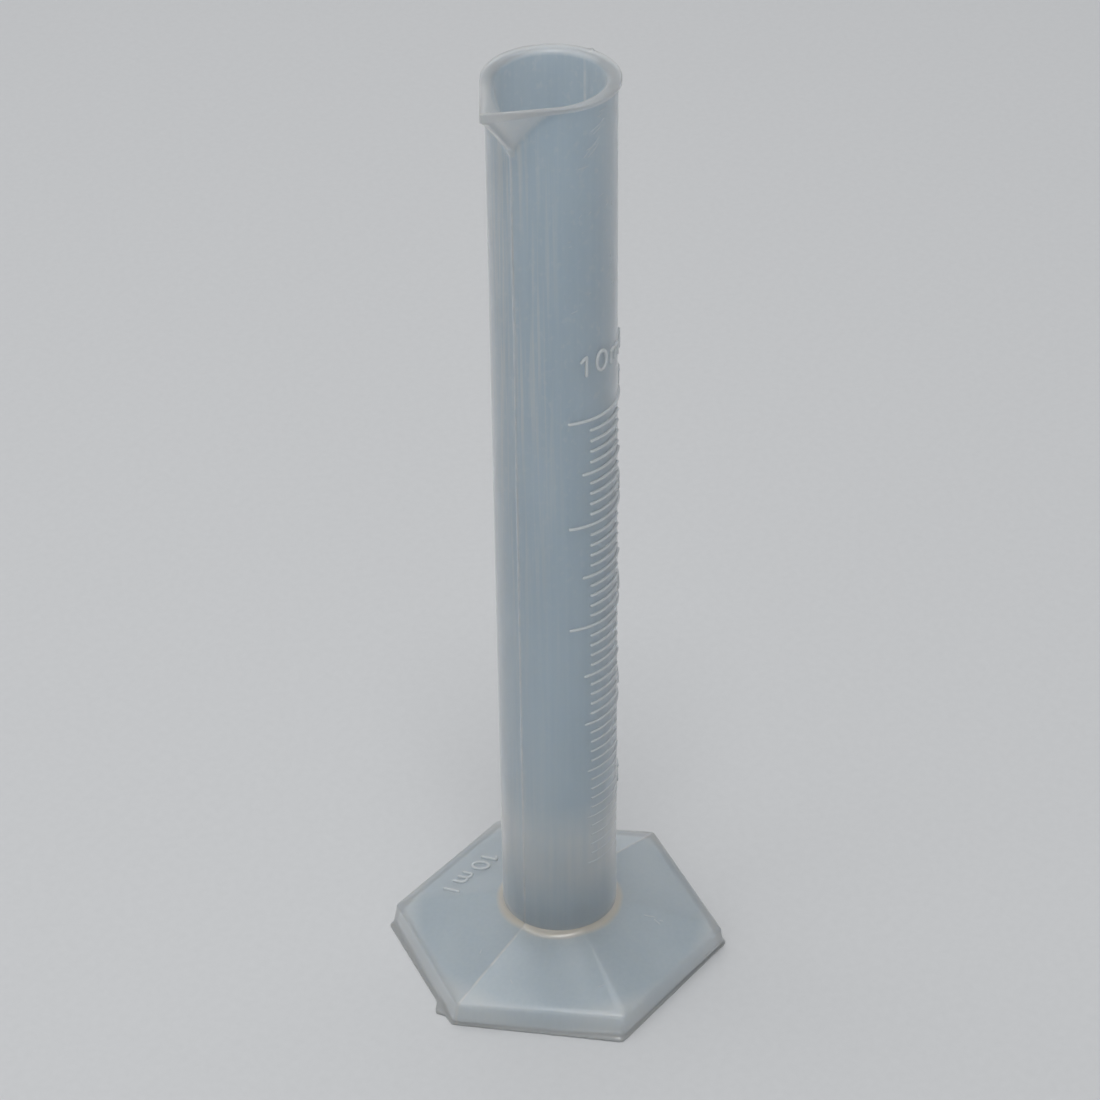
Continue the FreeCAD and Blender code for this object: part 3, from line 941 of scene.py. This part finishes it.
def polypropylene(name, milk, clear, transmission, haze, tints=None):
    """Natural polypropylene: milky and faintly blue, with streaks along the tube."""
    n = Nodes(name)
    out = n.add("ShaderNodeOutputMaterial")
    shader = n.add("ShaderNodeBsdfPrincipled")
    n.link(shader.outputs[0], out.inputs["Surface"])

    cloud = n.noise((0.10, 0.10, 0.04), detail=2.0)
    streak = n.noise((1.6, 1.6, 0.03), detail=2.0, roughness=0.6)

    blend = n.math("ADD", n.math("MULTIPLY", cloud, 0.65), n.math("MULTIPLY", streak, 0.35))
    colour = n.mix(n.spread(blend, 0.35, 0.65, 0.0, 1.0), clear, milk)
    if tints:
        colour = tints(n, colour)
    n.link(colour, shader.inputs["Base Color"])

    n.link(n.spread(streak, 0.3, 0.7, ROUGHNESS_LOW, ROUGHNESS_HIGH), shader.inputs["Roughness"])
    shader.inputs["IOR"].default_value = POLYPROPYLENE_IOR
    shader.inputs["Transmission Weight"].default_value = transmission
    shader.inputs["Subsurface Weight"].default_value = haze
    shader.inputs["Subsurface Radius"].default_value = (0.9, 1.0, 1.2)
    shader.inputs["Subsurface Scale"].default_value = 0.002
    shader.inputs["Coat Weight"].default_value = 0.6
    shader.inputs["Coat Roughness"].default_value = 0.18
    shader.inputs["Sheen Weight"].default_value = 0.35
    shader.inputs["Sheen Roughness"].default_value = 0.5
    shader.inputs["Sheen Tint"].default_value = (1.0, 0.98, 0.95, 1.0)

    return n.material


def floor_material():
    n = Nodes("studio_floor_paper")
    out = n.add("ShaderNodeOutputMaterial")
    shader = n.add("ShaderNodeBsdfPrincipled")
    n.link(shader.outputs[0], out.inputs["Surface"])
    fibre = n.noise((0.8, 0.8, 0.8), detail=4.0)
    n.link(n.mix(fibre, (0.60, 0.605, 0.61), (0.64, 0.645, 0.65)), shader.inputs["Base Color"])
    shader.inputs["Roughness"].default_value = 0.85
    return n.material


def dress(piece, material, nodes):
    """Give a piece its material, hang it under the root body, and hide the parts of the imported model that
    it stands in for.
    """
    piece.data.materials.append(material)
    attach(piece, "root")
    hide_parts(*nodes)


def flat_square(name, size, z):
    half = size / 2
    corners = [(-half, -half, z), (half, -half, z), (half, half, z), (-half, half, z)]
    return mesh_object(name, corners, [(0, 1, 2, 3)])


# The object

tube_plastic = polypropylene("pp_tube", (0.70, 0.79, 0.85), (0.61, 0.71, 0.78), 0.76, 0.5, tube_tints)
foot_plastic = polypropylene("pp_foot", (0.71, 0.79, 0.84), (0.63, 0.72, 0.78), 0.60, 0.5, foot_tints)
mark_plastic = polypropylene("pp_marks", (0.86, 0.90, 0.92), (0.80, 0.85, 0.88), 0.38, 0.3)

dress(
    make_tube(), tube_plastic,
    ("measuring_tube", "tube_floor", "rim_flange", "pour_spout", "tube_parting_lines"),
)
dress(make_foot(), foot_plastic, ("foot_top", "foot_skirt", "foot_parting_lines"))

top_z = high("long_graduations", Z) - LINE_WIDTH / 2
long_indices = range(0, LINE_COUNT, 2 * LINES_PER_MILLILITRE)
medium_indices = range(LINES_PER_MILLILITRE, LINE_COUNT, 2 * LINES_PER_MILLILITRE)
short_indices = [i for i in range(LINE_COUNT) if i % LINES_PER_MILLILITRE]
dress(
    make_lines("long_scale_lines", 1.0, long_indices, LONG_HALF_ANGLE, top_z),
    mark_plastic, ("long_graduations",),
)
dress(
    make_lines("medium_scale_lines", 2.0, medium_indices, MEDIUM_HALF_ANGLE, top_z),
    mark_plastic, ("medium_graduations",),
)
dress(
    make_lines("short_scale_lines", 3.0, short_indices, SHORT_HALF_ANGLE, top_z),
    mark_plastic, ("short_graduations",),
)
dress(make_numerals(long_indices, top_z), mark_plastic, ("long_graduations",))
dress(make_scuffs(), mark_plastic, ("measuring_tube",))
dress(make_foot_scuffs(), mark_plastic, ("foot_top",))
tube_offsets = {"1": -3.5, "0": -1.2, "m": 1.75, "l": 4.35}
dress(
    make_characters("tube_ten_millilitre_mark", tube_offsets, low("tube_capacity_mark", Z), on_tube),
    mark_plastic, ("tube_capacity_mark",),
)
foot_offsets = {"1": -2.2, "0": -0.3, "m": 2.9, "l": 6.0}
dress(
    make_characters("foot_ten_millilitre_mark", foot_offsets, 0.0, on_roof),
    mark_plastic, ("foot_capacity_mark",),
)

# Studio

FLOOR_SIZE = 6000.0
WORLD_COLOUR = (0.80, 0.82, 0.85, 1.0)
WORLD_STRENGTH = 0.45
# Light has to pass through many layers of the clear plastic
LIGHT_BOUNCES = 24

floor = flat_square("studio_floor", FLOOR_SIZE, 0.0)
floor.data.materials.append(floor_material())

world = bpy.data.worlds.new("studio")
bpy.context.scene.world = world
world.use_nodes = True
world.node_tree.nodes["Background"].inputs["Color"].default_value = WORLD_COLOUR
world.node_tree.nodes["Background"].inputs["Strength"].default_value = WORLD_STRENGTH
bpy.context.scene.view_settings.view_transform = "Standard"


def soft_light(name, place, aim, size, power, colour=(1.0, 1.0, 1.0)):
    data = bpy.data.lights.new(name, "AREA")
    data.shape = "RECTANGLE"
    data.size, data.size_y = size
    data.energy = power
    data.color = colour
    light = bpy.data.objects.new(name, data)
    bpy.context.scene.collection.objects.link(light)
    light.location = place
    light.rotation_euler = (Vector(aim) - Vector(place)).to_track_quat("-Z", "Y").to_euler()
    light.visible_camera = False


soft_light("overhead", (0.10, 0.25, 0.90), (0, 0, 0.06), (0.9, 0.7), 3.0)
soft_light("key", (-0.20, -0.15, 0.85), (0, 0, 0.06), (0.22, 0.22), 1.6)
soft_light("window_behind", (0.95, 0.88, 0.22), (0, 0, 0.05), (0.9, 0.35), 0.45)
soft_light("left_fill", (-0.80, 0.20, 0.45), (0, 0, 0.06), (0.8, 0.8), 0.9, (0.95, 0.98, 1.0))
soft_light("front_fill", (-0.80, -0.55, 0.16), (0, 0, 0.02), (0.9, 0.30), 1.1)
bpy.context.scene.cycles.max_bounces = LIGHT_BOUNCES
bpy.context.scene.cycles.transmission_bounces = LIGHT_BOUNCES

CAMERA_AIM = Vector((-0.001012, 0.000171, 0.06325))
CAMERA_DISTANCE = 0.4584
CAMERA_AZIMUTH = math.radians(-52.38)
CAMERA_ELEVATION = math.radians(35.01)
CAMERA_ROLL = math.radians(-0.685)
CAMERA_LENS = 121.16
CAMERA_SENSOR = 36.0


def make_camera():
    back = Vector((
        math.sin(CAMERA_AZIMUTH) * math.cos(CAMERA_ELEVATION),
        -math.cos(CAMERA_AZIMUTH) * math.cos(CAMERA_ELEVATION),
        math.sin(CAMERA_ELEVATION),
    ))
    right = (-back).cross(Vector((0, 0, 1))).normalized()
    up = back.cross(right)
    turned_right = right * math.cos(CAMERA_ROLL) + up * math.sin(CAMERA_ROLL)
    turned_up = up * math.cos(CAMERA_ROLL) - right * math.sin(CAMERA_ROLL)
    data = bpy.data.cameras.new("camera")
    data.lens = CAMERA_LENS
    data.sensor_width = CAMERA_SENSOR
    data.clip_start = 0.01
    data.clip_end = 20.0
    camera = bpy.data.objects.new("camera", data)
    bpy.context.scene.collection.objects.link(camera)
    turn = Matrix((turned_right, turned_up, back)).transposed()
    camera.matrix_world = Matrix.Translation(CAMERA_AIM + back * CAMERA_DISTANCE) @ turn.to_4x4()
    bpy.context.scene.camera = camera


make_camera()
